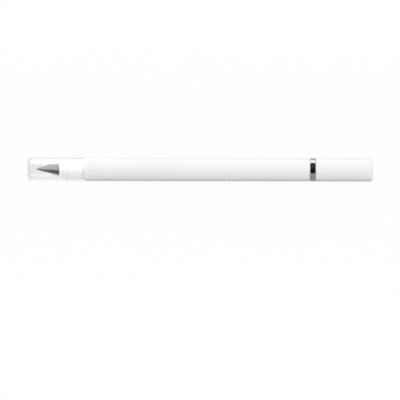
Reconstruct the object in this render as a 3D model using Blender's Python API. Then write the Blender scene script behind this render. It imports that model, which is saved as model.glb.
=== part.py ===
"""A dual-tip pen: an everlasting pencil nib under a clear cap at -X, a ballpoint under a white cap at +X.

Units are metres and +Z is up. The pen lies along X on the ground, as on a desk, with both caps on.
Every piece is turned about the pen's axis, which runs along X at half the barrel's diameter above the ground.
"""

import math

import bmesh
import bpy
from mathutils import Matrix

# Barrel
BARREL_DIAMETER = 0.0100
BARREL_LENGTH = 0.0947
BARREL_WALL = 0.0006

# Clearances
FACE_GAP = 0.0001  # between faces that meet end to end
SEAT_GAP = 0.00006  # round a pressed or glued seat
RUNNING_GAP = 0.00008  # round a cap's or the refill's running fit
BALL_GAP = 0.00004  # round the writing ball
EDGE = 0.00015  # broken outer edges

# Pencil end
COLLAR_LENGTH = 0.00245
HOLDER_LENGTH = 0.0108  # in front of the collar
HOLDER_STRAIGHT = 0.0029  # straight part in front of the collar, behind the rounded taper
HOLDER_TAPER_POWER = 2.5  # how soon that taper reaches its full diameter
HOLDER_SPIGOT = 0.0090  # pressed into the barrel
HOLDER_WEB = 0.0020  # solid plastic between the stud's hole and the core behind it
HOLDER_CORE = 0.0032  # bore of the core that keeps the moulding's walls even
CAP_BEAD_HEIGHT = 0.0001
CAP_BEAD_LENGTH = 0.0012
NIB_DIAMETER = 0.0060
NIB_LENGTH = 0.0097
NIB_TIP_RADIUS = 0.00048
STUD_DIAMETER = 0.0034
STUD_LENGTH = 0.0062  # in the holder
STUD_PIN_DIAMETER = 0.0024
STUD_PIN_LENGTH = 0.0040  # in the nib

# Clear cap
CLEAR_CAP_WALL = 0.00067
CLEAR_CAP_END_WALL = 0.0009
CLEAR_CAP_CORNER = 0.0011
CLEAR_CAP_SOCKET = 0.0075  # depth of the wide bore behind its mouth
CLEAR_CAP_STEP_ROOM = 0.00022  # round the holder where that bore narrows
NIB_ROOM = 0.0028  # from the nib's tip to the cap's end
GATE_DIAMETER = 0.0022  # moulding gate's recess in the cap's end
GATE_DEPTH = 0.0003

# Nose at the ballpoint end
RING_LENGTH = 0.0025
RING_EDGE = 0.0003
NECK_LENGTH = 0.00475
NECK_BEAD_HEIGHT = 0.00013
NECK_BEAD_LENGTH = 0.0013
NECK_BEAD_FRONT = 0.0022  # bead's middle in front of the ring
SHOULDER_LENGTH = 0.0004
SHOULDER_DROP = 0.0004
CONE_LENGTH = 0.00855
NOSE_LIP = 0.0005  # wall round the refill at the nose's front
NOSE_SEAT = 0.0064  # depth of the refill's seat behind the nose's front

# Screw thread that holds the nose in the barrel
THREAD_PITCH = 0.0010
THREAD_DEPTH = 0.00036
THREAD_GAP = 0.00017
THREAD_LENGTH = 0.0052
THREAD_RELIEF = 0.0010  # undercut between the ring and the thread
THREAD_LEAD = 0.0006  # plain lead-in at the thread's end
THREAD_FADE = 0.0008  # length over which the thread runs out
BUSH_LENGTH = 0.0092
BUSH_WALL = 0.00067  # behind the thread's root

# Refill
REFILL_DIAMETER = 0.0030
REFILL_WALL = 0.00035
TIP_DIAMETER = 0.00225
TIP_SHANK = 0.0040  # pressed into the refill's tube
TIP_FLANGE = 0.0006
TIP_REACH = 0.00395  # from the nose's front to the end of the ball
TIP_CONE = 0.0027
TIP_LIP_DIAMETER = 0.00116
TIP_LIP_LAND = 0.00006
BALL_DIAMETER = 0.0008
BALL_PROUD = 0.00018  # how far the ball stands out of its socket
INK_CHANNEL = 0.0005
PLUG_FLANGE_DIAMETER = 0.0042
PLUG_FLANGE = 0.0010
PLUG_LENGTH = 0.0036  # pressed into the refill's tube
PLUG_VENT = 0.0008
FOLLOWER_LENGTH = 0.0035
EMPTY_LENGTH = 0.0055  # air between the plug and the ink follower

# Spring behind the refill
SPRING_LENGTH = 0.0090  # as fitted
SPRING_DIAMETER = 0.0040  # outside
SPRING_WIRE = 0.00036
SPRING_TURNS = 8
SPRING_POCKET = 0.0030  # depth of its seat in the holder
SPRING_SIDE_ROOM = 0.0003

# White cap
PEN_CAP_WALL = 0.00045
PEN_CAP_END_WALL = 0.0010
PEN_CAP_CORNER = 0.0006
TIP_ROOM = 0.0058  # from the ball to the cap's end
LINER_WALL = 0.0004
LINER_SETBACK = 0.0004  # behind the cap's mouth
LINER_END_ROOM = 0.0015
LINER_RUNNING_GAP = 0.00015  # over the neck's bead

# Flats round a large piece and a slim one; a multiple of four puts one underneath
SIDES = 24
SLIM_SIDES = 16
SPRING_POINTS = 10  # to a turn
THREAD_RINGS = 4  # to a pitch

# Radii that follow from the sizes above
BARREL_RADIUS = BARREL_DIAMETER / 2
BARREL_BORE = BARREL_RADIUS - BARREL_WALL
SPIGOT_RADIUS = BARREL_BORE - SEAT_GAP
CLEAR_CAP_BORE = BARREL_RADIUS - CLEAR_CAP_WALL
CAP_BEAD_RADIUS = CLEAR_CAP_BORE - RUNNING_GAP
HOLDER_RADIUS = CAP_BEAD_RADIUS - CAP_BEAD_HEIGHT
NIB_RADIUS = NIB_DIAMETER / 2
PEN_CAP_BORE = BARREL_RADIUS - PEN_CAP_WALL
LINER_RADIUS = PEN_CAP_BORE - SEAT_GAP
LINER_BORE = LINER_RADIUS - LINER_WALL
NECK_BEAD_RADIUS = LINER_BORE - LINER_RUNNING_GAP
NECK_RADIUS = NECK_BEAD_RADIUS - NECK_BEAD_HEIGHT
BUSH_THREAD_ROOT = SPIGOT_RADIUS - BUSH_WALL
THREAD_CREST = BUSH_THREAD_ROOT - THREAD_GAP
THREAD_ROOT = THREAD_CREST - THREAD_DEPTH
REFILL_RADIUS = REFILL_DIAMETER / 2
REFILL_BORE = REFILL_RADIUS - REFILL_WALL
REFILL_FILL = REFILL_BORE - SEAT_GAP
TIP_RADIUS = TIP_DIAMETER / 2
TIP_FLANGE_RADIUS = REFILL_RADIUS - EDGE / 2
NOSE_BORE = REFILL_RADIUS + RUNNING_GAP
NOSE_FRONT_BORE = TIP_RADIUS + RUNNING_GAP
CONE_BACK_RADIUS = NECK_RADIUS - SHOULDER_DROP
CONE_FRONT_RADIUS = NOSE_FRONT_BORE + NOSE_LIP
BALL_RADIUS = BALL_DIAMETER / 2
SPRING_RADIUS = SPRING_DIAMETER / 2
POCKET_RADIUS = SPRING_RADIUS + SPRING_SIDE_ROOM

# Lengths and places along the pen, from the middle of its length
CLEAR_CAP_LENGTH = HOLDER_LENGTH + FACE_GAP + NIB_LENGTH + NIB_ROOM + CLEAR_CAP_END_WALL
NOSE_LENGTH = NECK_LENGTH + SHOULDER_LENGTH + CONE_LENGTH
PEN_CAP_LENGTH = NOSE_LENGTH + TIP_REACH + TIP_ROOM + PEN_CAP_END_WALL
MIDDLE_LENGTH = COLLAR_LENGTH + BARREL_LENGTH + RING_LENGTH + 4 * FACE_GAP
TOTAL_LENGTH = CLEAR_CAP_LENGTH + MIDDLE_LENGTH + PEN_CAP_LENGTH

CLEAR_CAP_END = -TOTAL_LENGTH / 2
CLEAR_CAP_MOUTH = CLEAR_CAP_END + CLEAR_CAP_LENGTH
COLLAR_FRONT = CLEAR_CAP_MOUTH + FACE_GAP
COLLAR_BACK = COLLAR_FRONT + COLLAR_LENGTH
BARREL_PENCIL_END = COLLAR_BACK + FACE_GAP
BARREL_BALL_END = BARREL_PENCIL_END + BARREL_LENGTH
RING_BACK = BARREL_BALL_END + FACE_GAP
RING_FRONT = RING_BACK + RING_LENGTH
PEN_CAP_MOUTH = RING_FRONT + FACE_GAP
PEN_CAP_END = PEN_CAP_MOUTH + PEN_CAP_LENGTH

HOLDER_FRONT = COLLAR_FRONT - HOLDER_LENGTH
HOLDER_BACK = COLLAR_BACK + HOLDER_SPIGOT
TAPER_BACK = COLLAR_FRONT - HOLDER_STRAIGHT
CAP_BEAD_MIDDLE = COLLAR_FRONT - HOLDER_STRAIGHT / 2
NIB_BACK = HOLDER_FRONT - FACE_GAP
NIB_TIP = NIB_BACK - NIB_LENGTH
STUD_HOLE_END = HOLDER_FRONT + STUD_LENGTH + FACE_GAP
CORE_END = STUD_HOLE_END + HOLDER_WEB
POCKET_END = HOLDER_BACK - SPRING_POCKET

CONE_BACK = RING_FRONT + NECK_LENGTH + SHOULDER_LENGTH
NOSE_FRONT = RING_FRONT + NOSE_LENGTH
NOSE_SHOULDER = NOSE_FRONT - NOSE_SEAT
THREAD_FRONT = RING_BACK - THREAD_RELIEF
THREAD_BACK = THREAD_FRONT - THREAD_LENGTH
NOSE_BACK = THREAD_BACK - THREAD_LEAD
BUSH_FRONT = BARREL_BALL_END - EDGE
BUSH_BACK = BUSH_FRONT - BUSH_LENGTH

BALL_END = NOSE_FRONT + TIP_REACH
BALL_MIDDLE = BALL_END - BALL_RADIUS
TIP_FRONT = BALL_END - BALL_PROUD
FLANGE_FRONT = NOSE_SHOULDER - FACE_GAP
FLANGE_BACK = FLANGE_FRONT - TIP_FLANGE
TUBE_FRONT = FLANGE_BACK - FACE_GAP
TIP_BACK = TUBE_FRONT - TIP_SHANK
SPRING_BACK = POCKET_END + FACE_GAP
SPRING_FRONT = SPRING_BACK + SPRING_LENGTH
PLUG_BACK = SPRING_FRONT + FACE_GAP
TUBE_BACK = PLUG_BACK + PLUG_FLANGE + FACE_GAP
PLUG_FRONT = TUBE_BACK + PLUG_LENGTH
FOLLOWER_BACK = PLUG_FRONT + EMPTY_LENGTH
INK_BACK = FOLLOWER_BACK + FOLLOWER_LENGTH + FACE_GAP
INK_FRONT = TIP_BACK - FACE_GAP


def clear_scene():
    for old in list(bpy.data.objects):
        bpy.data.objects.remove(old, do_unlink=True)


def finish(name, colour, roughness, metallic=0.0, transmission=0.0):
    """A piece's own material."""
    made = bpy.data.materials.new(name + "_finish")
    made.use_nodes = True
    shader = made.node_tree.nodes["Principled BSDF"]
    shader.inputs["Base Color"].default_value = (*colour, 1.0)
    shader.inputs["Roughness"].default_value = roughness
    shader.inputs["Metallic"].default_value = metallic
    shader.inputs["Transmission Weight"].default_value = transmission
    return made


def place_along_pen(thing):
    """Where an object's origin lies along the pen."""
    return thing.location.x + (place_along_pen(thing.parent) if thing.parent else 0.0)


def hang(thing, along, parent):
    """Links an object, puts its origin on the pen's axis and hangs it on its parent."""
    bpy.context.scene.collection.objects.link(thing)
    thing.parent = parent
    thing.location.x = along - place_along_pen(parent)
    return thing


def joint(name, along, parent):
    """An empty on the axis, which carries the pieces that move together."""
    made = bpy.data.objects.new(name, None)
    made.empty_display_size = BARREL_RADIUS
    return hang(made, along, parent)


def arc(middle, radius, start, end, steps):
    """Points of a round corner, with angles in degrees from +X towards the outside."""
    turns = [math.radians(start + (end - start) * i / steps) for i in range(steps + 1)]
    return [(middle[0] + radius * math.cos(t), middle[1] + radius * math.sin(t)) for t in turns]


def curve(back, front, radius_at, steps):
    """Points of a turned curve, where radius_at takes 0 at the back and 1 at the front."""
    shares = [i / steps for i in range(steps + 1)]
    return [(back + (front - back) * share, radius_at(share)) for share in shares]


def bead(middle, length, root, crest):
    """Points of a low rounded bead, towards +X."""
    return [
        (middle - length / 2, root),
        (middle - length / 6, crest),
        (middle + length / 6, crest),
        (middle + length / 2, root),
    ]


def turned(name, outline, parent, along, look, sides=SIDES, reshape=None):
    """One solid: an outline of (place along the pen, radius) points spun about the axis.

    Radii are those of the flats, so that pieces with unlike numbers of sides fit each other's bores.
    """
    half_side = math.pi / sides
    stretch = 1 / math.cos(half_side)
    shape = bmesh.new()
    points = [shape.verts.new((x - along, 0.0, radius * stretch)) for x, radius in outline]
    following = points[1:]
    if outline[0][1] > 0 or outline[-1][1] > 0:
        following = following + points[:1]
    edges = [shape.edges.new(pair) for pair in zip(points, following)]
    bmesh.ops.rotate(shape, verts=points, matrix=Matrix.Rotation(half_side, 3, "X"))
    bmesh.ops.spin(
        shape, geom=points + edges, axis=(1, 0, 0), angle=2 * math.pi, steps=sides, use_merge=True
    )
    bmesh.ops.remove_doubles(shape, verts=shape.verts, dist=1e-7)
    bmesh.ops.recalc_face_normals(shape, faces=shape.faces)
    if reshape:
        for point in shape.verts:
            radius = math.hypot(point.co.y, point.co.z) / stretch
            angle = math.atan2(point.co.z, point.co.y)
            scale = reshape(point.co.x + along, angle, radius) / radius
            point.co.y *= scale
            point.co.z *= scale
    mesh = bpy.data.meshes.new(name)
    shape.to_mesh(mesh)
    shape.free()
    mesh.shade_smooth()
    mesh.set_sharp_from_angle(angle=math.radians(30))
    mesh.materials.append(finish(name, *look))
    return hang(bpy.data.objects.new(name, mesh), along, parent)


def thread_height(x, angle):
    """Height of the right-hand thread as a share of its depth: 1 on a crest, 0 in a root."""
    phase = (x / THREAD_PITCH - angle / (2 * math.pi)) % 1.0
    return abs(2 * phase - 1)


def thread_share(x, back, front):
    """How much of the thread is cut at this place: it runs out at both ends."""
    return max(0.0, min(1.0, (x - back) / THREAD_FADE, (front - x) / THREAD_FADE))


def cut_nose_thread(x, angle, radius):
    if x > THREAD_FRONT + 1e-6 or radius < THREAD_CREST - 1e-6:
        return radius
    height = thread_height(x, angle) * thread_share(x, THREAD_BACK, THREAD_FRONT)
    return THREAD_ROOT + THREAD_DEPTH * height


def cut_bush_thread(x, angle, radius):
    if radius > BUSH_THREAD_ROOT + 1e-6:
        return radius
    share = thread_share(x, BUSH_BACK, BUSH_FRONT)
    return BUSH_THREAD_ROOT - THREAD_DEPTH * (1 - thread_height(x, angle)) * share


def thread_rings(back, front, radius):
    """Points of the plain cylinder that a thread is cut from, closer together than its pitch."""
    steps = math.ceil((front - back) * THREAD_RINGS / THREAD_PITCH)
    return curve(back, front, lambda share: radius, steps)


def holder_radius(share):
    """Radius of the holder's rounded taper, where share is 0 at the nib and 1 at the straight part."""
    return NIB_RADIUS + (HOLDER_RADIUS - NIB_RADIUS) * (1 - (1 - share) ** HOLDER_TAPER_POWER)


def cone_radius(share):
    """Radius of the nose's hollow cone, where share is 0 at its shoulder and 1 at its front."""
    return CONE_FRONT_RADIUS + (CONE_BACK_RADIUS - CONE_FRONT_RADIUS) * (1 - share) ** 2


def barrel_tube(parent):
    outline = [
        (BARREL_PENCIL_END, BARREL_BORE),
        (BARREL_PENCIL_END, BARREL_RADIUS - EDGE),
        (BARREL_PENCIL_END + EDGE, BARREL_RADIUS),
        (BARREL_BALL_END - EDGE, BARREL_RADIUS),
        (BARREL_BALL_END, BARREL_RADIUS - EDGE),
        (BARREL_BALL_END, BARREL_BORE),
    ]
    look = ((0.86, 0.87, 0.88), 0.25)
    turned("barrel_tube", outline, parent, BARREL_PENCIL_END, look)


def nib_holder(parent):
    stud_hole = STUD_DIAMETER / 2 + SEAT_GAP
    core = HOLDER_CORE / 2
    outline = [(STUD_HOLE_END, 0.0), (STUD_HOLE_END, stud_hole), (HOLDER_FRONT, stud_hole)]
    outline += curve(HOLDER_FRONT, TAPER_BACK, holder_radius, 8)
    outline += bead(CAP_BEAD_MIDDLE, CAP_BEAD_LENGTH, HOLDER_RADIUS, CAP_BEAD_RADIUS)
    outline += [
        (COLLAR_FRONT, HOLDER_RADIUS),
        (COLLAR_FRONT, BARREL_RADIUS - EDGE),
        (COLLAR_FRONT + EDGE, BARREL_RADIUS),
        (COLLAR_BACK - EDGE, BARREL_RADIUS),
        (COLLAR_BACK, BARREL_RADIUS - EDGE),
        (COLLAR_BACK, SPIGOT_RADIUS),
        (HOLDER_BACK - EDGE, SPIGOT_RADIUS),
        (HOLDER_BACK, SPIGOT_RADIUS - EDGE),
        (HOLDER_BACK, POCKET_RADIUS),
        (POCKET_END, POCKET_RADIUS),
        (POCKET_END, core),
        (CORE_END, core),
        (CORE_END, 0.0),
    ]
    look = ((0.88, 0.88, 0.87), 0.35)
    turned("nib_holder", outline, parent, COLLAR_FRONT, look)


def pencil_nib(parent):
    length = NIB_LENGTH - NIB_TIP_RADIUS
    slope = math.degrees(math.atan((NIB_RADIUS - NIB_TIP_RADIUS) / length))
    tip = arc((NIB_TIP + NIB_TIP_RADIUS, 0.0), NIB_TIP_RADIUS, 180, 90 + slope, 4)
    tip[0] = (NIB_TIP, 0.0)
    socket = STUD_PIN_DIAMETER / 2 + SEAT_GAP
    socket_end = NIB_BACK - STUD_PIN_LENGTH - FACE_GAP
    outline = tip + [
        (NIB_BACK - EDGE, NIB_RADIUS - EDGE / 2),
        (NIB_BACK, NIB_RADIUS - EDGE),
        (NIB_BACK, socket),
        (socket_end, socket),
        (socket_end, 0.0),
    ]
    look = ((0.19, 0.19, 0.20), 0.38, 0.8)
    turned("pencil_nib", outline, parent, NIB_BACK, look)


def nib_stud(parent):
    pin = STUD_PIN_DIAMETER / 2
    stud = STUD_DIAMETER / 2
    outline = [
        (NIB_BACK - STUD_PIN_LENGTH, 0.0),
        (NIB_BACK - STUD_PIN_LENGTH, pin),
        (HOLDER_FRONT, pin),
        (HOLDER_FRONT, stud),
        (HOLDER_FRONT + STUD_LENGTH - EDGE, stud),
        (HOLDER_FRONT + STUD_LENGTH, stud - EDGE),
        (HOLDER_FRONT + STUD_LENGTH, 0.0),
    ]
    look = ((0.05, 0.05, 0.05), 0.5)
    turned("nib_stud", outline, parent, HOLDER_FRONT, look, SLIM_SIDES)


def clear_cap(parent):
    wide = CLEAR_CAP_BORE
    step = CLEAR_CAP_MOUTH - CLEAR_CAP_SOCKET
    narrow = holder_radius((step - HOLDER_FRONT) / (TAPER_BACK - HOLDER_FRONT)) + CLEAR_CAP_STEP_ROOM
    inner_end = CLEAR_CAP_END + CLEAR_CAP_END_WALL
    corner = CLEAR_CAP_CORNER
    inner_corner = CLEAR_CAP_CORNER * 0.6
    gate = GATE_DIAMETER / 2
    outline = [
        (CLEAR_CAP_END + GATE_DEPTH, 0.0),
        (CLEAR_CAP_END + GATE_DEPTH, gate - GATE_DEPTH),
        (CLEAR_CAP_END, gate),
    ]
    outline += arc((CLEAR_CAP_END + corner, BARREL_RADIUS - corner), corner, 180, 90, 4)
    outline += [
        (CLEAR_CAP_MOUTH - EDGE, BARREL_RADIUS),
        (CLEAR_CAP_MOUTH, BARREL_RADIUS - EDGE),
        (CLEAR_CAP_MOUTH, wide + EDGE),
        (CLEAR_CAP_MOUTH - EDGE, wide),
        (step, wide),
        (step, narrow),
    ]
    outline += arc((inner_end + inner_corner, narrow - inner_corner), inner_corner, 90, 180, 3)
    outline += [(inner_end, 0.0)]
    look = ((0.95, 0.95, 0.93), 0.08, 0.0, 1.0)
    turned("clear_cap", outline, parent, CLEAR_CAP_MOUTH, look)


def barrel_bush(parent):
    outline = [(BUSH_FRONT, SPIGOT_RADIUS), (BUSH_BACK, SPIGOT_RADIUS)]
    outline += thread_rings(BUSH_BACK, BUSH_FRONT, BUSH_THREAD_ROOT)
    look = ((0.72, 0.52, 0.24), 0.35, 1.0)
    turned("barrel_bush", outline, parent, BUSH_FRONT, look, reshape=cut_bush_thread)


def nose_cone(parent):
    outline = [(NOSE_BACK, NOSE_BORE), (NOSE_BACK, THREAD_ROOT - EDGE), (NOSE_BACK + EDGE, THREAD_ROOT)]
    outline += thread_rings(THREAD_BACK, THREAD_FRONT, THREAD_CREST)
    outline += [
        (RING_BACK, THREAD_ROOT),
        (RING_BACK, BARREL_RADIUS - RING_EDGE),
        (RING_BACK + RING_EDGE, BARREL_RADIUS),
        (RING_FRONT - RING_EDGE, BARREL_RADIUS),
        (RING_FRONT, BARREL_RADIUS - RING_EDGE),
        (RING_FRONT, NECK_RADIUS),
    ]
    outline += bead(RING_FRONT + NECK_BEAD_FRONT, NECK_BEAD_LENGTH, NECK_RADIUS, NECK_BEAD_RADIUS)
    outline += [(RING_FRONT + NECK_LENGTH, NECK_RADIUS)]
    outline += curve(CONE_BACK, NOSE_FRONT, cone_radius, 8)
    outline += [
        (NOSE_FRONT, NOSE_FRONT_BORE),
        (NOSE_SHOULDER, NOSE_FRONT_BORE),
        (NOSE_SHOULDER, NOSE_BORE),
    ]
    look = ((0.80, 0.80, 0.81), 0.06, 1.0)
    turned("nose_cone", outline, parent, RING_BACK, look, reshape=cut_nose_thread)


def refill_tube(parent):
    outline = [
        (TUBE_BACK, REFILL_BORE),
        (TUBE_BACK, REFILL_RADIUS),
        (TUBE_FRONT, REFILL_RADIUS),
        (TUBE_FRONT, REFILL_BORE),
    ]
    look = ((0.75, 0.60, 0.33), 0.3, 1.0)
    turned("refill_tube", outline, parent, TUBE_FRONT, look, SLIM_SIDES)


def refill_tip(parent):
    lip = TIP_LIP_DIAMETER / 2
    channel = INK_CHANNEL / 2
    socket = BALL_RADIUS + BALL_GAP
    mouth = math.sqrt(BALL_RADIUS**2 - (TIP_FRONT - BALL_MIDDLE) ** 2) + BALL_GAP
    outline = [
        (TIP_BACK, channel),
        (TIP_BACK, REFILL_FILL),
        (FLANGE_BACK, REFILL_FILL),
        (FLANGE_BACK, TIP_FLANGE_RADIUS),
        (FLANGE_FRONT, TIP_FLANGE_RADIUS),
        (FLANGE_FRONT, TIP_RADIUS),
        (TIP_FRONT - TIP_CONE, TIP_RADIUS),
        (TIP_FRONT - EDGE, lip),
        (TIP_FRONT, mouth + TIP_LIP_LAND),
        (TIP_FRONT, mouth),
        (BALL_MIDDLE, socket),
        (BALL_MIDDLE - socket, socket * 0.8),
        (BALL_MIDDLE - socket, channel),
    ]
    look = ((0.70, 0.69, 0.66), 0.2, 1.0)
    turned("refill_tip", outline, parent, FLANGE_BACK, look, SLIM_SIDES)


def refill_plug(parent):
    vent = PLUG_VENT / 2
    outline = [
        (PLUG_BACK, vent),
        (PLUG_BACK, PLUG_FLANGE_DIAMETER / 2),
        (PLUG_BACK + PLUG_FLANGE, PLUG_FLANGE_DIAMETER / 2),
        (PLUG_BACK + PLUG_FLANGE, REFILL_FILL),
        (PLUG_FRONT, REFILL_FILL),
        (PLUG_FRONT, vent),
    ]
    look = ((0.60, 0.62, 0.64), 0.5)
    turned("refill_plug", outline, parent, PLUG_BACK, look, SLIM_SIDES)


def refill_filling(name, back, front, parent, look):
    """A slug of ink or grease that fills the refill's bore."""
    outline = [(back, 0.0), (back, REFILL_FILL), (front, REFILL_FILL), (front, 0.0)]
    turned(name, outline, parent, back, look, SLIM_SIDES)


def writing_ball(parent):
    outline = arc((BALL_MIDDLE, 0.0), BALL_RADIUS * math.cos(math.pi / SLIM_SIDES), 180, 0, 8)
    outline[0] = (outline[0][0], 0.0)
    outline[-1] = (outline[-1][0], 0.0)
    look = ((0.55, 0.55, 0.56), 0.1, 1.0)
    turned("writing_ball", outline, parent, BALL_MIDDLE, look, SLIM_SIDES)


def pen_cap_shell(parent):
    inner_end = PEN_CAP_END - PEN_CAP_END_WALL
    corner = PEN_CAP_CORNER
    inner_corner = PEN_CAP_CORNER * 0.5
    outline = [(inner_end, 0.0)]
    outline += arc((inner_end - inner_corner, PEN_CAP_BORE - inner_corner), inner_corner, 0, 90, 2)
    outline += [
        (PEN_CAP_MOUTH, PEN_CAP_BORE),
        (PEN_CAP_MOUTH, BARREL_RADIUS - EDGE),
        (PEN_CAP_MOUTH + EDGE, BARREL_RADIUS),
    ]
    outline += arc((PEN_CAP_END - corner, BARREL_RADIUS - corner), corner, 90, 0, 4)
    outline += [(PEN_CAP_END, 0.0)]
    look = ((0.86, 0.87, 0.88), 0.25)
    turned("pen_cap_shell", outline, parent, PEN_CAP_MOUTH, look)


def pen_cap_liner(parent):
    back = PEN_CAP_MOUTH + LINER_SETBACK
    front = PEN_CAP_END - PEN_CAP_END_WALL - LINER_END_ROOM
    outline = [
        (front, LINER_BORE),
        (front, LINER_RADIUS),
        (back, LINER_RADIUS),
        (back, LINER_BORE + EDGE),
        (back + EDGE, LINER_BORE),
    ]
    look = ((0.78, 0.78, 0.76), 0.45)
    turned("pen_cap_liner", outline, parent, back, look)


def refill_spring(parent):
    """A round-wire helix between its pocket in the holder and the refill's plug."""
    coil_radius = SPRING_RADIUS - SPRING_WIRE / 2
    travel = SPRING_LENGTH - SPRING_WIRE
    count = SPRING_TURNS * SPRING_POINTS
    path = bpy.data.curves.new("refill_spring", "CURVE")
    path.dimensions = "3D"
    path.bevel_depth = SPRING_WIRE / 2
    path.bevel_resolution = 1
    path.use_fill_caps = True
    coil = path.splines.new("POLY")
    coil.points.add(count)
    for i, point in enumerate(coil.points):
        angle = 2 * math.pi * i / SPRING_POINTS
        x = SPRING_WIRE / 2 + travel * i / count
        point.co = (x, coil_radius * math.cos(angle), coil_radius * math.sin(angle), 1.0)
    coil.use_smooth = True
    path.materials.append(finish("refill_spring", (0.50, 0.50, 0.52), 0.25, 1.0))
    hang(bpy.data.objects.new("refill_spring", path), SPRING_BACK, parent)
    print(f"spring: {1000 * (travel / SPRING_TURNS - SPRING_WIRE):.2f} mm between its turns")


def pen():
    axis = bpy.data.objects.new("pen_axis", None)
    axis.empty_display_size = BARREL_RADIUS
    axis.location.z = BARREL_RADIUS
    bpy.context.scene.collection.objects.link(axis)

    barrel_tube(axis)
    barrel_bush(axis)
    nib_holder(axis)
    pencil_nib(axis)
    nib_stud(axis)
    refill_spring(axis)

    clear_cap(joint("clear_cap_slide", CLEAR_CAP_MOUTH, axis))

    refill = joint("refill_slide", TUBE_FRONT, axis)
    refill_tube(refill)
    refill_tip(refill)
    refill_plug(refill)
    refill_filling("ink_column", INK_BACK, INK_FRONT, refill, ((0.01, 0.01, 0.03), 0.2))
    refill_filling("ink_follower", FOLLOWER_BACK, INK_BACK - FACE_GAP, refill, ((0.7, 0.6, 0.3), 0.2))
    writing_ball(joint("ball_turn", BALL_MIDDLE, refill))

    nose = joint("nose_turn", RING_BACK, refill)
    nose_cone(nose)

    pen_cap = joint("pen_cap_slide", PEN_CAP_MOUTH, nose)
    pen_cap_shell(pen_cap)
    pen_cap_liner(pen_cap)


clear_scene()
pen()
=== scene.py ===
import math

import bmesh
import bpy
from mathutils import Matrix, Vector


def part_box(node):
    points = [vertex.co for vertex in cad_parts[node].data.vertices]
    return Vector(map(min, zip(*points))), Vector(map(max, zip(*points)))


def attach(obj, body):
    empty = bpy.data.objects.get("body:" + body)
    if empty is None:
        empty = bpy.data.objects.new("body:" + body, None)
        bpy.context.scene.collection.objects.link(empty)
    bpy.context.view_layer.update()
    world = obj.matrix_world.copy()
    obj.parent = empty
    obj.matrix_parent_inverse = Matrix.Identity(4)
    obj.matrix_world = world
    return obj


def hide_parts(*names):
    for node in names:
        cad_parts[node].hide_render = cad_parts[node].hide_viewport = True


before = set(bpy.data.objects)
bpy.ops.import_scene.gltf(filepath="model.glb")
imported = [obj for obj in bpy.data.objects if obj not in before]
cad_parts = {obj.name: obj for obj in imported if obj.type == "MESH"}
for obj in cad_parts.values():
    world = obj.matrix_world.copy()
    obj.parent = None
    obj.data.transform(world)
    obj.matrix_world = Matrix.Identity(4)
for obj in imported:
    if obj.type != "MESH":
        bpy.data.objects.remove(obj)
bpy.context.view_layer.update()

# Sizes of the solids that the fine pieces stand for, in metres from the middle of the pen's length
MM = 0.001
BARREL_BACK, BARREL_FRONT = (corner.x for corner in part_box("barrel_tube"))
AXIS_HEIGHT = (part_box("barrel_tube")[0].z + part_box("barrel_tube")[1].z) / 2
RADIUS = AXIS_HEIGHT
BARREL_BORE = RADIUS - 0.60 * MM
SPIGOT = BARREL_BORE - 0.06 * MM
CLEAR_END, CLEAR_MOUTH = (corner.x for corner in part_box("clear_cap"))
CLEAR_BORE = RADIUS - 0.67 * MM
HOLDER_FRONT, HOLDER_BACK = (corner.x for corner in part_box("nib_holder"))
COLLAR_FRONT = CLEAR_MOUTH + 0.03 * MM
COLLAR_BACK = BARREL_BACK - 0.03 * MM
HOLDER_RADIUS = CLEAR_BORE - 0.18 * MM
NIB_TIP, NIB_BACK = (corner.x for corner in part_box("pencil_nib"))
NIB_RADIUS = 3.0 * MM
NOSE_BACK, NOSE_FRONT = (corner.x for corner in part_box("nose_cone"))
CAP_MOUTH, CAP_END = (corner.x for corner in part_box("pen_cap_shell"))
CAP_BORE = RADIUS - 0.45 * MM
RING_BACK = BARREL_FRONT + 0.10 * MM
BARREL_RIM = RING_BACK - 0.03 * MM
RING_FRONT = CAP_MOUTH - 0.03 * MM
LINER_BACK, LINER_FRONT = (corner.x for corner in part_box("pen_cap_liner"))
LINER_RADIUS = CAP_BORE - 0.06 * MM
LINER_BORE = LINER_RADIUS - 0.40 * MM
NECK_BEAD = LINER_BORE - 0.15 * MM
NECK = NECK_BEAD - 0.13 * MM
BUSH_BACK, BUSH_FRONT = (corner.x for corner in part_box("barrel_bush"))
BUSH_THREAD = SPIGOT - 0.67 * MM
THREAD_CREST = BUSH_THREAD - 0.17 * MM
THREAD_DEPTH = 0.36 * MM
THREAD_PITCH = 1.0 * MM
THREAD_RUN_OUT = 0.8 * MM
THREAD_FLAT = 0.1
TUBE_BACK, TUBE_FRONT = (corner.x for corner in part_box("refill_tube"))
TIP_BACK, TIP_FRONT = (corner.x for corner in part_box("refill_tip"))
REFILL = 1.50 * MM
REFILL_FILL = 1.09 * MM
TIP = 1.125 * MM
BALL = 0.392 * MM
BALL_MIDDLE = (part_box("writing_ball")[0].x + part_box("writing_ball")[1].x) / 2

# Fineness of the turned pieces
SIDES_LARGE = 128
SIDES_MIDDLE = 96
SIDES_SMALL = 64
SIDES_BALL = 32
CORNER_STEPS = 5
WIDE_CORNER_STEPS = 8
CORNER_SHARE = 0.49
SHARP_ANGLE = math.radians(50)
ON_SURFACE = 1e-6


# Fine turned pieces


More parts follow.
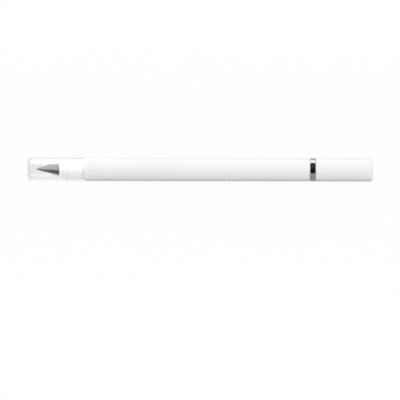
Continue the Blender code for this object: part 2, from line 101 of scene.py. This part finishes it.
def rounded(corners, steps=CORNER_STEPS):
    """An outline through (along, radius, corner size) points, rounded where a corner has a size."""
    points = []
    last = len(corners) - 1
    for i, corner in enumerate(corners):
        here = Vector(corner[:2])
        if len(corner) < 3 or i in (0, last):
            points.append(tuple(here))
            continue
        before, after = Vector(corners[i - 1][:2]), Vector(corners[i + 1][:2])
        sides = (before - here).length, (after - here).length
        reach = min(corner[2], CORNER_SHARE * sides[0], CORNER_SHARE * sides[1])
        start = here + (before - here).normalized() * reach
        end = here + (after - here).normalized() * reach
        for k in range(steps + 1):
            t = k / steps
            point = start * (1 - t) ** 2 + here * 2 * t * (1 - t) + end * t**2
            points.append(tuple(point))
    return points


def curve(start, end, radius_at, steps):
    """Points of a turned curve, where radius_at takes 0 at the start and 1 at the end."""
    return [(start + (end - start) * i / steps, radius_at(i / steps)) for i in range(steps + 1)]


def turned(name, outline, sides=SIDES_MIDDLE, reshape=None):
    """An outline of (along, radius) points spun about the pen's axis, on which its origin lies."""
    shape = bmesh.new()
    rings = []
    for along, radius in outline:
        turns = [2 * math.pi * k / sides for k in range(sides if radius > 0 else 1)]
        ring = [shape.verts.new((along, -radius * math.sin(t), radius * math.cos(t))) for t in turns]
        rings.append(ring if radius > 0 else ring * sides)
    following = rings[1:]
    if outline[0][1] > 0 or outline[-1][1] > 0:
        following = following + rings[:1]
    for ring, after in zip(rings, following):
        for k in range(sides):
            corners = dict.fromkeys((ring[k - 1], ring[k], after[k], after[k - 1]))
            shape.faces.new(tuple(corners))
    bmesh.ops.recalc_face_normals(shape, faces=shape.faces)
    if reshape:
        for point in shape.verts:
            radius = math.hypot(point.co.y, point.co.z)
            if radius > 0:
                scale = reshape(point.co.x, math.atan2(point.co.z, point.co.y), radius) / radius
                point.co.y *= scale
                point.co.z *= scale
    mesh = bpy.data.meshes.new(name)
    shape.to_mesh(mesh)
    shape.free()
    mesh.shade_smooth()
    mesh.set_sharp_from_angle(angle=SHARP_ANGLE)
    piece = bpy.data.objects.new(name, mesh)
    piece.location.z = AXIS_HEIGHT
    bpy.context.scene.collection.objects.link(piece)
    return piece


def dress(piece, node, body, look):
    """Puts a fine piece in the place of its solid."""
    piece.data.materials.append(look)
    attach(piece, body)
    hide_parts(node)


def thread_height(along, angle):
    """1 on the right-hand thread's crest and 0 in its root, with both a little flat."""
    phase = (along / THREAD_PITCH - angle / (2 * math.pi)) % 1.0
    return min(1.0, max(0.0, (1 + 2 * THREAD_FLAT) * abs(2 * phase - 1) - THREAD_FLAT))


def thread_share(along, back, front):
    """1 along most of the thread, and down to 0 where it runs out at its ends."""
    return max(0.0, min(1.0, (along - back) / THREAD_RUN_OUT, (front - along) / THREAD_RUN_OUT))


# Materials

# The part of a noise texture's range that its values fill
NOISE_LOW, NOISE_HIGH = 0.3, 0.7
# The length after which a wave texture of scale 1 repeats
WAVE_LENGTH = math.pi / 10


def mix_shaders(nodes, links, factor, first, second):
    """Shows the first shader where the factor is 0 and the second where it is 1."""
    mix = nodes.new("ShaderNodeMixShader")
    links.new(factor, mix.inputs["Fac"])
    links.new(first, mix.inputs[1])
    links.new(second, mix.inputs[2])
    links.new(mix.outputs["Shader"], nodes["Material Output"].inputs["Surface"])


class Look:
    """A material with one Principled shader and the nodes that vary it over the surface."""

    def __init__(self, name, **constants):
        self.material = bpy.data.materials.new(name)
        self.material.use_nodes = True
        self.nodes = self.material.node_tree.nodes
        self.links = self.material.node_tree.links
        self.shader = self.nodes["Principled BSDF"]
        self.place = self.nodes.new("ShaderNodeTexCoord").outputs["Object"]
        self.height = None
        for words, value in constants.items():
            socket = words.replace("_", " ").title().replace("Ior", "IOR")
            self.shader.inputs[socket].default_value = value

    def noise(self, scale, detail=3.0, roughness=0.55):
        """Cloudy spots, about so many to the metre along each axis."""
        stretch = self.nodes.new("ShaderNodeMapping")
        stretch.inputs["Scale"].default_value = scale
        self.links.new(self.place, stretch.inputs["Vector"])
        node = self.nodes.new("ShaderNodeTexNoise")
        node.inputs["Scale"].default_value = 1.0
        node.inputs["Detail"].default_value = detail
        node.inputs["Roughness"].default_value = roughness
        self.links.new(stretch.outputs["Vector"], node.inputs["Vector"])
        return node.outputs["Fac"]

    def rings(self, period, wobble):
        """Fine turning lines round the pen's axis."""
        node = self.nodes.new("ShaderNodeTexWave")
        node.wave_type = "BANDS"
        node.bands_direction = "X"
        node.inputs["Scale"].default_value = WAVE_LENGTH / period
        node.inputs["Distortion"].default_value = wobble
        node.inputs["Detail"].default_value = 2.0
        self.links.new(self.place, node.inputs["Vector"])
        return node.outputs["Fac"]

    def vary_colour(self, source, low, high):
        node = self.nodes.new("ShaderNodeValToRGB")
        node.color_ramp.elements[0].position = NOISE_LOW
        node.color_ramp.elements[0].color = (*low, 1.0)
        node.color_ramp.elements[1].position = NOISE_HIGH
        node.color_ramp.elements[1].color = (*high, 1.0)
        self.links.new(source, node.inputs["Fac"])
        self.links.new(node.outputs["Color"], self.shader.inputs["Base Color"])

    def vary_roughness(self, source, low, high):
        node = self.nodes.new("ShaderNodeMapRange")
        node.inputs["From Min"].default_value = NOISE_LOW
        node.inputs["From Max"].default_value = NOISE_HIGH
        node.inputs["To Min"].default_value = low
        node.inputs["To Max"].default_value = high
        self.links.new(source, node.inputs["Value"])
        self.links.new(node.outputs["Result"], self.shader.inputs["Roughness"])

    def bump(self, source, depth, strength=1.0):
        """Adds surface relief of this depth in metres."""
        node = self.nodes.new("ShaderNodeBump")
        node.inputs["Strength"].default_value = strength
        node.inputs["Distance"].default_value = depth
        self.links.new(source, node.inputs["Height"])
        if self.height:
            self.links.new(self.height, node.inputs["Normal"])
        self.height = node.outputs["Normal"]
        self.links.new(self.height, self.shader.inputs["Normal"])

    def absorb(self, colour, density):
        """Darkens what is seen through a depth of plastic, at a density to the metre."""
        node = self.nodes.new("ShaderNodeVolumeAbsorption")
        node.inputs["Color"].default_value = (*colour, 1.0)
        node.inputs["Density"].default_value = density
        self.links.new(node.outputs["Volume"], self.nodes["Material Output"].inputs["Volume"])

    def let_light_in(self, tint):
        """Lets lamps shine through clear plastic with only a faint shadow."""
        shadow = self.nodes.new("ShaderNodeLightPath").outputs["Is Shadow Ray"]
        clear = self.nodes.new("ShaderNodeBsdfTransparent")
        clear.inputs["Color"].default_value = (*tint, 1.0)
        mix_shaders(self.nodes, self.links, shadow, self.shader.outputs["BSDF"], clear.outputs["BSDF"])


def white_lacquer():
    look = Look("white_lacquer", coat_weight=0.2, coat_roughness=0.12)
    smudge = look.noise((60, 110, 110))
    look.vary_colour(smudge, (0.853, 0.853, 0.868), (0.876, 0.876, 0.886))
    look.vary_roughness(look.noise((240, 500, 500), detail=4.0), 0.28, 0.40)
    look.bump(look.noise((900, 1300, 1300), detail=2.0), 0.004 * MM)
    return look.material


def white_plastic():
    look = Look("white_plastic")
    look.vary_colour(look.noise((150, 220, 220)), (0.871, 0.871, 0.877), (0.893, 0.893, 0.897))
    look.vary_roughness(look.noise((700, 900, 900)), 0.34, 0.46)
    look.bump(look.noise((2600, 2600, 2600), detail=2.0), 0.004 * MM)
    return look.material


def nib_alloy():
    look = Look("nib_alloy", metallic=1.0)
    grain = look.noise((420, 900, 900), detail=5.0, roughness=0.65)
    look.vary_colour(grain, (0.45, 0.45, 0.455), (0.54, 0.54, 0.545))
    look.vary_roughness(look.noise((1600, 700, 700)), 0.18, 0.28)
    look.bump(look.rings(0.16 * MM, wobble=0.6), 0.003 * MM, strength=0.7)
    look.bump(grain, 0.006 * MM, strength=0.6)
    return look.material


def clear_plastic():
    look = Look(
        "clear_plastic", transmission_weight=1.0, ior=1.15, coat_weight=0.5, coat_roughness=0.06
    )
    look.vary_colour(look.noise((90, 160, 160)), (0.914, 0.914, 0.911), (0.928, 0.928, 0.925))
    look.vary_roughness(look.noise((300, 420, 420)), 0.05, 0.12)
    look.bump(look.noise((420, 800, 800), detail=2.0), 0.0001 * MM)
    look.absorb((0.0, 0.0, 0.0), density=15.0)
    look.let_light_in((0.74, 0.74, 0.737))
    return look.material


def chrome():
    look = Look("chrome", metallic=1.0)
    look.vary_colour(look.noise((300, 300, 300)), (0.80, 0.80, 0.81), (0.86, 0.86, 0.865))
    look.vary_roughness(look.noise((4000, 900, 900), detail=4.0), 0.05, 0.10)
    look.bump(look.noise((700, 500, 500), detail=2.0), 0.003 * MM)
    return look.material


def turned_metal(name, dark, light, period, roughness):
    look = Look(name, metallic=1.0)
    look.vary_colour(look.noise((500, 900, 900), detail=4.0), dark, light)
    look.vary_roughness(look.noise((3500, 800, 800)), roughness - 0.05, roughness + 0.07)
    look.bump(look.rings(period, wobble=0.4), 0.004 * MM, strength=0.6)
    return look.material


def moulded(name, dark, light, roughness):
    look = Look(name)
    look.vary_colour(look.noise((250, 300, 300)), dark, light)
    look.vary_roughness(look.noise((900, 900, 900)), roughness - 0.06, roughness + 0.06)
    look.bump(look.noise((2500, 2500, 2500), detail=2.0), 0.005 * MM)
    return look.material


# Barrel and pencil end


def make_barrel(look):
    outline = rounded([
        (BARREL_BACK, BARREL_BORE),
        (BARREL_BACK, RADIUS, 0.06 * MM),
        (BARREL_RIM, RADIUS, 0.05 * MM),
        (BARREL_RIM, BARREL_BORE),
    ])
    barrel = turned("barrel_lacquered", outline, SIDES_LARGE)
    dress(barrel, "barrel_tube", "barrel", look)


def make_holder(look):
    stud_hole = 1.76 * MM
    stud_end = HOLDER_FRONT + 6.3 * MM
    core = 1.6 * MM
    core_end = stud_end + 2.0 * MM
    pocket = 2.3 * MM
    pocket_end = HOLDER_BACK - 3.0 * MM
    straight = COLLAR_FRONT - 2.9 * MM
    rise = HOLDER_RADIUS - NIB_RADIUS
    fullness = 2.5
    bead = HOLDER_RADIUS + 0.10 * MM
    bead_middle = COLLAR_FRONT - 1.45 * MM
    bead_reach = 0.6 * MM
    collar_foot = COLLAR_FRONT - 0.50 * MM
    outline = [(stud_end, 0.0), (stud_end, stud_hole), (HOLDER_FRONT, stud_hole)]
    outline += curve(
        HOLDER_FRONT,
        straight,
        lambda t: NIB_RADIUS + rise * (1 - (1 - t) ** fullness),
        steps=32,
    )
    outline += curve(
        bead_middle - bead_reach,
        bead_middle + bead_reach,
        lambda t: HOLDER_RADIUS + (bead - HOLDER_RADIUS) * math.sin(math.pi * t) ** 2,
        steps=12,
    )
    outline += rounded([
        (collar_foot, HOLDER_RADIUS),
        (COLLAR_FRONT, HOLDER_RADIUS, 0.10 * MM),
        (COLLAR_FRONT, RADIUS, 0.03 * MM),
        (COLLAR_BACK, RADIUS, 0.06 * MM),
        (COLLAR_BACK, SPIGOT),
        (HOLDER_BACK, SPIGOT, 0.2 * MM),
        (HOLDER_BACK, pocket),
        (pocket_end, pocket),
        (pocket_end, core),
        (core_end, core),
        (core_end, 0.0),
    ])
    holder = turned("nib_holder_moulded", outline, SIDES_LARGE)
    dress(holder, "nib_holder", "barrel", look)


def make_nib(look):
    tip = 0.48 * MM
    tip_steps = 8
    slope = math.atan((NIB_RADIUS - tip) / (NIB_BACK - NIB_TIP - tip))
    edge_length = 2.0 * MM
    edge_radius = NIB_RADIUS - 0.06 * MM
    socket = 1.26 * MM
    socket_end = NIB_BACK - 4.1 * MM
    outline = [(NIB_TIP, 0.0)]
    for i in range(1, tip_steps + 1):
        turn = math.pi - (math.pi / 2 - slope) * i / tip_steps
        outline.append((NIB_TIP + tip + tip * math.cos(turn), tip * math.sin(turn)))
    outline += rounded([
        (NIB_BACK - edge_length, NIB_RADIUS - edge_length * math.tan(slope)),
        (NIB_BACK, edge_radius, 0.16 * MM),
        (NIB_BACK, socket),
        (socket_end, socket),
        (socket_end, 0.0),
    ])
    dress(turned("pencil_nib_turned", outline), "pencil_nib", "barrel", look)


def make_clear_cap(look):
    step = CLEAR_MOUTH - 7.5 * MM
    narrow = CLEAR_BORE - 0.26 * MM
    inner_end = CLEAR_END + 0.9 * MM
    gate = 1.1 * MM
    gate_depth = 0.3 * MM
    outline = rounded([
        (CLEAR_END + gate_depth, 0.0),
        (CLEAR_END + gate_depth, gate - gate_depth, 0.1 * MM),
        (CLEAR_END, gate, 0.15 * MM),
        (CLEAR_END, RADIUS, 1.2 * MM),
        (CLEAR_MOUTH, RADIUS, 0.02 * MM),
        (CLEAR_MOUTH, CLEAR_BORE, 0.06 * MM),
        (step, CLEAR_BORE, 0.05 * MM),
        (step, narrow, 0.08 * MM),
        (inner_end, narrow, 0.8 * MM),
        (inner_end, 0.0),
    ], WIDE_CORNER_STEPS)
    cap = turned("clear_cap_moulded", outline, SIDES_LARGE)
    dress(cap, "clear_cap", "clear_cap", look)


# Ballpoint end


def make_nose(look):
    thread_front = RING_BACK - 1.0 * MM
    thread_back = thread_front - 5.2 * MM
    thread_end = 0.1 * MM
    root = THREAD_CREST - THREAD_DEPTH
    bore = REFILL + 0.08 * MM
    bead_middle = RING_FRONT + 2.2 * MM
    bead_edge = 0.18 * MM
    relief = NECK - 0.10 * MM
    relief_middle = 0.45 * MM
    relief_edge = 0.75 * MM
    chamfer = 0.40 * MM
    cone_back = RING_FRONT + 5.2 * MM
    cone_length = NOSE_FRONT - cone_back
    cone_radius = NECK - chamfer
    cone_edge = 0.03
    curve_start, curve_end = 0.06, 0.97
    front_bore = TIP + 0.08 * MM
    front_radius = front_bore + 0.50 * MM
    front_rim = 0.15 * MM
    shoulder = NOSE_FRONT - 6.4 * MM

    def hollow(share):
        """Radius of the cone's hollow side."""
        return front_radius + (cone_radius - front_radius) * (1 - share) ** 2

    def cut_thread(along, angle, radius):
        if along > thread_front + ON_SURFACE or radius < THREAD_CREST - ON_SURFACE:
            return radius
        share = thread_height(along, angle) * thread_share(along, thread_back, thread_front)
        return root + THREAD_DEPTH * share

    outline = rounded([
        (NOSE_BACK, bore),
        (NOSE_BACK, root, 0.2 * MM),
        (thread_back - thread_end, root),
    ])
    outline += curve(thread_back, thread_front, lambda t: THREAD_CREST, steps=84)
    outline += rounded([
        (thread_front + thread_end, root),
        (RING_BACK, root, 0.1 * MM),
        (RING_BACK, RADIUS, 0.60 * MM),
        (RING_FRONT, RADIUS, 0.48 * MM),
        (RING_FRONT, NECK, 0.08 * MM),
        (bead_middle - relief_edge, NECK, 0.20 * MM),
        (bead_middle - relief_middle, relief, 0.13 * MM),
        (bead_middle - bead_edge, NECK_BEAD, 0.15 * MM),
        (bead_middle + bead_edge, NECK_BEAD, 0.15 * MM),
        (bead_middle + relief_middle, relief, 0.13 * MM),
        (bead_middle + relief_edge, NECK, 0.20 * MM),
        (cone_back - chamfer, NECK, 0.16 * MM),
        (cone_back, cone_radius, 0.16 * MM),
        (cone_back + cone_edge * cone_length, hollow(cone_edge)),
    ])
    outline += curve(
        cone_back + curve_start * cone_length,
        cone_back + curve_end * cone_length,
        lambda t: hollow(curve_start + (curve_end - curve_start) * t),
        steps=28,
    )
    outline += rounded([
        (NOSE_FRONT - front_rim, front_radius),
        (NOSE_FRONT, front_radius, 0.12 * MM),
        (NOSE_FRONT, front_bore, 0.06 * MM),
        (shoulder, front_bore),
        (shoulder, bore),
    ])
    nose = turned("nose_plated", outline, SIDES_LARGE, cut_thread)
    dress(nose, "nose_cone", "nose", look)


def make_bush(look):
    def cut_thread(along, angle, radius):
        if radius > BUSH_THREAD + ON_SURFACE:
            return radius
        share = thread_share(along, BUSH_BACK, BUSH_FRONT)
        return BUSH_THREAD - THREAD_DEPTH * (1 - thread_height(along, angle)) * share

    outline = [(BUSH_FRONT, SPIGOT), (BUSH_BACK, SPIGOT)]
    outline += curve(BUSH_BACK, BUSH_FRONT, lambda t: BUSH_THREAD, steps=148)
    bush = turned("barrel_bush_tapped", outline, SIDES_MIDDLE, cut_thread)
    dress(bush, "barrel_bush", "barrel", look)


def make_refill(tube_look, tip_look, ball_look):
    bore = REFILL - 0.35 * MM
    outline = rounded([
        (TUBE_BACK, bore),
        (TUBE_BACK, REFILL, 0.1 * MM),
        (TUBE_FRONT, REFILL, 0.1 * MM),
        (TUBE_FRONT, bore),
    ])
    tube = turned("refill_tube_drawn", outline, SIDES_SMALL)
    dress(tube, "refill_tube", "refill", tube_look)

    flange_back = TUBE_FRONT + 0.1 * MM
    flange_front = flange_back + 0.6 * MM
    flange = 1.425 * MM
    channel = 0.25 * MM
    socket = 0.44 * MM
    socket_floor = 0.8 * socket
    mouth = 0.374 * MM
    lip = mouth + 0.06 * MM
    point_back = TIP_FRONT - 2.7 * MM
    point_front = TIP_FRONT - 0.15 * MM
    point = 0.58 * MM
    outline = rounded([
        (TIP_BACK, channel),
        (TIP_BACK, REFILL_FILL, 0.1 * MM),
        (flange_back, REFILL_FILL),
        (flange_back, flange, 0.08 * MM),
        (flange_front, flange, 0.08 * MM),
        (flange_front, TIP),
        (point_back, TIP, 0.25 * MM),
        (point_front, point, 0.10 * MM),
        (TIP_FRONT, lip, 0.03 * MM),
        (TIP_FRONT, mouth),
        (BALL_MIDDLE, socket, 0.1 * MM),
        (BALL_MIDDLE - socket, socket_floor),
        (BALL_MIDDLE - socket, channel),
    ])
    tip = turned("refill_tip_turned", outline, SIDES_SMALL)
    dress(tip, "refill_tip", "refill", tip_look)

    ball_steps = 16
    outline = [(BALL_MIDDLE - BALL, 0.0)]
    for i in range(1, ball_steps):
        turn = math.pi * (1 - i / ball_steps)
        outline.append((BALL_MIDDLE + BALL * math.cos(turn), BALL * math.sin(turn)))
    outline.append((BALL_MIDDLE + BALL, 0.0))
    ball = turned("writing_ball_ground", outline, SIDES_BALL)
    dress(ball, "writing_ball", "ball", ball_look)


def make_pen_cap(shell_look, liner_look):
    inner_end = CAP_END - 1.0 * MM
    outline = rounded([
        (inner_end, 0.0),
        (inner_end, CAP_BORE, 0.5 * MM),
        (CAP_MOUTH, CAP_BORE, 0.06 * MM),
        (CAP_MOUTH, RADIUS, 0.05 * MM),
        (CAP_END, RADIUS, 0.95 * MM),
        (CAP_END, 0.0),
    ], WIDE_CORNER_STEPS)
    shell = turned("pen_cap_lacquered", outline, SIDES_LARGE)
    dress(shell, "pen_cap_shell", "pen_cap", shell_look)

    lead_in = LINER_BACK + 1.0 * MM
    outline = rounded([
        (LINER_FRONT, LINER_BORE),
        (LINER_FRONT, LINER_RADIUS, 0.1 * MM),
        (LINER_BACK, LINER_RADIUS, 0.1 * MM),
        (LINER_BACK, LINER_BORE, 0.2 * MM),
        (lead_in, LINER_BORE),
    ])
    liner = turned("pen_cap_liner_moulded", outline, SIDES_MIDDLE)
    dress(liner, "pen_cap_liner", "pen_cap", liner_look)


def finish_hidden_nodes(looks):
    """The solids that stay as they are get their own surface."""
    for node, look in looks.items():
        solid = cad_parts[node]
        solid.data.materials.clear()
        solid.data.materials.append(look)


def make_pen():
    lacquer = white_lacquer()
    brass = turned_metal("brass", (0.66, 0.47, 0.22), (0.76, 0.58, 0.30), 0.2 * MM, 0.28)
    silver = turned_metal("nickel_silver", (0.62, 0.61, 0.58), (0.74, 0.73, 0.70), 0.09 * MM, 0.20)
    carbide = turned_metal("ball_carbide", (0.48, 0.48, 0.49), (0.58, 0.58, 0.59), 0.05 * MM, 0.14)
    make_barrel(lacquer)
    make_holder(white_plastic())
    make_nib(nib_alloy())
    make_clear_cap(clear_plastic())
    make_nose(chrome())
    make_bush(brass)
    make_refill(brass, silver, carbide)
    make_pen_cap(lacquer, moulded("natural_plastic", (0.74, 0.74, 0.71), (0.80, 0.80, 0.78), 0.45))
    stud = moulded("black_plastic", (0.03, 0.03, 0.03), (0.06, 0.06, 0.06), 0.50)
    plug = moulded("grey_plastic", (0.55, 0.57, 0.59), (0.64, 0.66, 0.68), 0.45)
    steel = turned_metal("spring_steel", (0.44, 0.44, 0.46), (0.56, 0.56, 0.58), 0.3 * MM, 0.25)
    ink = moulded("ink", (0.008, 0.008, 0.02), (0.015, 0.015, 0.04), 0.15)
    grease = moulded("grease", (0.60, 0.50, 0.24), (0.72, 0.62, 0.33), 0.20)
    finish_hidden_nodes({
        "nib_stud": stud,
        "refill_plug": plug,
        "refill_spring": steel,
        "ink_column": ink,
        "ink_follower": grease,
    })


# Camera, light and floor

ELEVATION = math.radians(15)
DISTANCE = 2.0
ROLL = math.radians(0.13)
PICTURE_SIDE = 400
PIXELS_PER_METRE = 2314.1
PEN_PIXEL = (200.15, 169.4)
SENSOR_WIDTH = 36.0
NEAREST_SEEN = 0.01

# The floor's share of plain white, which leaves a soft shadow near the pen, and where it changes
FLOOR_GREY = 0.80
WHITE_NEAR, WHITE_FAR = 0.92, 1.0
SHADOW_NEAR, SHADOW_FAR = 0.08, 0.40
FLOOR_REACH = 3.0

# Levels of light, where 1 is white, and the cards that stand for a light tent
AMBIENT = 0.70
CARD_REACH = 0.6
CARD_STEPS = 8


def make_camera():
    away = Vector((0.0, -math.cos(ELEVATION), math.sin(ELEVATION)))
    right = Vector((1.0, 0.0, 0.0))
    up = away.cross(right)
    turn = Matrix.Rotation(ROLL, 3, away)
    right, up = turn @ right, turn @ up
    aim = Vector((0.0, 0.0, AXIS_HEIGHT))
    aim -= right * (PEN_PIXEL[0] - PICTURE_SIDE / 2) / PIXELS_PER_METRE
    aim -= up * (PICTURE_SIDE / 2 - PEN_PIXEL[1]) / PIXELS_PER_METRE
    lens = bpy.data.cameras.new("camera")
    lens.sensor_width = SENSOR_WIDTH
    lens.lens = SENSOR_WIDTH * DISTANCE * PIXELS_PER_METRE / PICTURE_SIDE
    lens.clip_start = NEAREST_SEEN
    camera = bpy.data.objects.new("camera", lens)
    bpy.context.scene.collection.objects.link(camera)
    turned_axes = Matrix((right, up, away)).transposed().to_4x4()
    camera.matrix_world = Matrix.Translation(aim + away * DISTANCE) @ turned_axes
    bpy.context.scene.camera = camera


def soft_light(name, place, aim, size, power, mirrored=False, through_plastic=True):
    """A lamp that may show in mirrored rays, and in rays that pass through clear plastic."""
    lamp = bpy.data.lights.new(name, "AREA")
    lamp.shape = "RECTANGLE"
    lamp.size, lamp.size_y = size
    lamp.energy = power
    light = bpy.data.objects.new(name, lamp)
    bpy.context.scene.collection.objects.link(light)
    light.location = place
    light.rotation_euler = (Vector(place) - Vector(aim)).to_track_quat("Z", "Y").to_euler()
    light.visible_glossy = mirrored
    light.visible_transmission = through_plastic
    return light


def shine_only_on(light, piece):
    """Keeps a lamp's light to one piece."""
    lit = bpy.data.collections.new(light.name)
    lit.objects.link(bpy.data.objects[piece])
    light.light_linking.receiver_collection = lit
    light.visible_diffuse = False


def seen_directly(nodes, links):
    """1 for a ray that shows the background itself, also in metal and through clear plastic."""
    path = nodes.new("ShaderNodeLightPath")
    total = path.outputs["Is Camera Ray"]
    for kind in ("Is Glossy Ray", "Is Transmission Ray"):
        most = nodes.new("ShaderNodeMath")
        most.operation = "MAXIMUM"
        links.new(total, most.inputs[0])
        links.new(path.outputs[kind], most.inputs[1])
        total = most.outputs[0]
    return total


def make_world():
    world = bpy.data.worlds.new("studio")
    bpy.context.scene.world = world
    world.use_nodes = True
    nodes, links = world.node_tree.nodes, world.node_tree.links
    strength = nodes.new("ShaderNodeMapRange")
    strength.inputs["To Min"].default_value = AMBIENT
    strength.inputs["To Max"].default_value = 1.0
    links.new(seen_directly(nodes, links), strength.inputs["Value"])
    links.new(strength.outputs["Result"], nodes["Background"].inputs["Strength"])
    nodes["Background"].inputs["Color"].default_value = (1.0, 1.0, 1.0, 1.0)


def panel(name, corners, material):
    """A stage panel through rows of corner points."""
    mesh = bpy.data.meshes.new(name)
    width = len(corners[0])
    points = [point for row in corners for point in row]
    faces = []
    for i in range(len(corners) - 1):
        for j in range(width - 1):
            k = i * width + j
            faces.append((k, k + 1, k + width + 1, k + width))
    mesh.from_pydata(points, [], faces)
    mesh.materials.append(material)
    made = bpy.data.objects.new(name, mesh)
    bpy.context.scene.collection.objects.link(made)
    return made


def stage_material(name):
    """A material with no shader yet, whose own light is never sampled as a lamp's."""
    material = bpy.data.materials.new(name)
    material.use_nodes = True
    material.cycles.emission_sampling = "NONE"
    nodes = material.node_tree.nodes
    nodes.remove(nodes["Principled BSDF"])
    return material, nodes, material.node_tree.links


def floor_material():
    """Pale floor that reads white to the camera and keeps a soft shadow near the pen."""
    material, nodes, links = stage_material("floor")
    matt = nodes.new("ShaderNodeBsdfDiffuse")
    matt.inputs["Color"].default_value = (FLOOR_GREY, FLOOR_GREY, FLOOR_GREY, 1.0)
    white = nodes.new("ShaderNodeEmission")
    place = nodes.new("ShaderNodeTexCoord")
    distance = nodes.new("ShaderNodeVectorMath")
    distance.operation = "LENGTH"
    links.new(place.outputs["Object"], distance.inputs[0])
    share = nodes.new("ShaderNodeMapRange")
    share.inputs["From Min"].default_value = SHADOW_NEAR
    share.inputs["From Max"].default_value = SHADOW_FAR
    share.inputs["To Min"].default_value = WHITE_NEAR
    share.inputs["To Max"].default_value = WHITE_FAR
    links.new(distance.outputs["Value"], share.inputs["Value"])
    factor = nodes.new("ShaderNodeMath")
    factor.operation = "MULTIPLY"
    links.new(share.outputs["Result"], factor.inputs[0])
    links.new(seen_directly(nodes, links), factor.inputs[1])
    mix_shaders(nodes, links, factor.outputs[0], matt.outputs["BSDF"], white.outputs["Emission"])
    return material


def card_material(name, level, glow):
    """Shows in mirrored rays only, or as a glow only to what stands behind clear plastic.

    All other rays pass through the card.
    """
    material, nodes, links = stage_material(name)
    white = nodes.new("ShaderNodeEmission")
    white.inputs["Strength"].default_value = level
    path = nodes.new("ShaderNodeLightPath")
    shown = nodes.new("ShaderNodeMath")
    shown.operation = "MINIMUM" if glow else "SUBTRACT"
    shown.use_clamp = True
    links.new(path.outputs["Is Transmission Ray" if glow else "Glossy Depth"], shown.inputs[0])
    links.new(path.outputs["Diffuse Depth"], shown.inputs[1])
    clear = nodes.new("ShaderNodeBsdfTransparent")
    mix_shaders(nodes, links, shown.outputs[0], clear.outputs["BSDF"], white.outputs["Emission"])
    return material


def standing(distance, low, high):
    """Points of a curved card round the pen's axis, between two angles above the floor in front."""
    turns = [math.radians(low + (high - low) * i / CARD_STEPS) for i in range(CARD_STEPS + 1)]
    return [(-distance * math.cos(t), AXIS_HEIGHT + distance * math.sin(t)) for t in turns]


def flag(name, section, level, left=-CARD_REACH, right=CARD_REACH, through_plastic=False, glow=False):
    """A card that gives bright metal its contrast or clear plastic its glow, and hides nothing."""
    rows = [[(left, y, z), (right, y, z)] for y, z in section]
    card = panel(name, rows, card_material(name, level, glow))
    card.visible_camera = False
    card.visible_diffuse = False
    card.visible_glossy = not through_plastic
    card.visible_transmission = through_plastic
    card.visible_volume_scatter = False
    card.visible_shadow = False


def make_floor():
    below = -0.05 * MM
    near = [(-FLOOR_REACH, -FLOOR_REACH, below), (FLOOR_REACH, -FLOOR_REACH, below)]
    far = [(-FLOOR_REACH, FLOOR_REACH, below), (FLOOR_REACH, FLOOR_REACH, below)]
    panel("floor", [near, far], floor_material())


def make_cards():
    low = -0.02 * MM
    lowest_glow = low / 2
    shade = -AXIS_HEIGHT / math.tan(math.radians(17))
    flag_distance, back_distance, glow_distance = 0.35, 0.45, 0.50
    front_floor = [(-flag_distance, low), (shade, low)]
    back_floor = [(shade, low), (0.10, low)]
    nib_floor = [(-2 * MM, low), (-60 * MM, low)]
    glow_floor = [(0.0, lowest_glow), (-glow_distance, lowest_glow)]
    flag("dark_flag_floor", front_floor, level=0.010)
    flag("dark_flag_low", standing(flag_distance, -3, 28), level=0.010)
    flag("dark_flag_high", standing(flag_distance, 28, 86), level=0.042)
    flag("grey_card", back_floor, level=0.30, left=CLEAR_MOUTH)
    flag("cap_card", back_floor, level=0.70, right=CLEAR_MOUTH)
    flag("back_card", standing(back_distance, 122, 178), level=0.50, left=CLEAR_MOUTH - 11 * MM)
    flag("nib_flag", nib_floor, level=0.21, through_plastic=True)
    flag("cap_glow_high", standing(glow_distance, 40, 80), level=2.0, through_plastic=True, glow=True)
    flag("cap_glow_low", glow_floor, level=1.55, through_plastic=True, glow=True)


def make_lights():
    aim = (0.0, 0.0, AXIS_HEIGHT)
    soft_light(
        "top_softbox", place=(0.0, 0.16, 0.50), aim=aim, size=(0.80, 0.28), power=0.18, mirrored=True
    )
    soft_light(
        "front_fill",
        place=(0.0, -0.40, 0.66),
        aim=aim,
        size=(0.90, 0.60),
        power=3.0,
        through_plastic=False,
    )
    soft_light(
        "back_fill",
        place=(0.0, 0.60, 0.20),
        aim=aim,
        size=(0.90, 0.30),
        power=1.0,
        through_plastic=False,
    )
    over_cap = -0.092
    cap_highlight = soft_light(
        "cap_highlight",
        place=(over_cap, 0.0209, 0.3043),
        aim=(over_cap, 0.0, AXIS_HEIGHT),
        size=(0.075, 0.293),
        power=2.80,
        mirrored=True,
        through_plastic=False,
    )
    shine_only_on(cap_highlight, "clear_cap_moulded")
    make_world()


make_pen()
make_camera()
make_floor()
make_cards()
make_lights()
bpy.context.scene.view_settings.view_transform = "Standard"
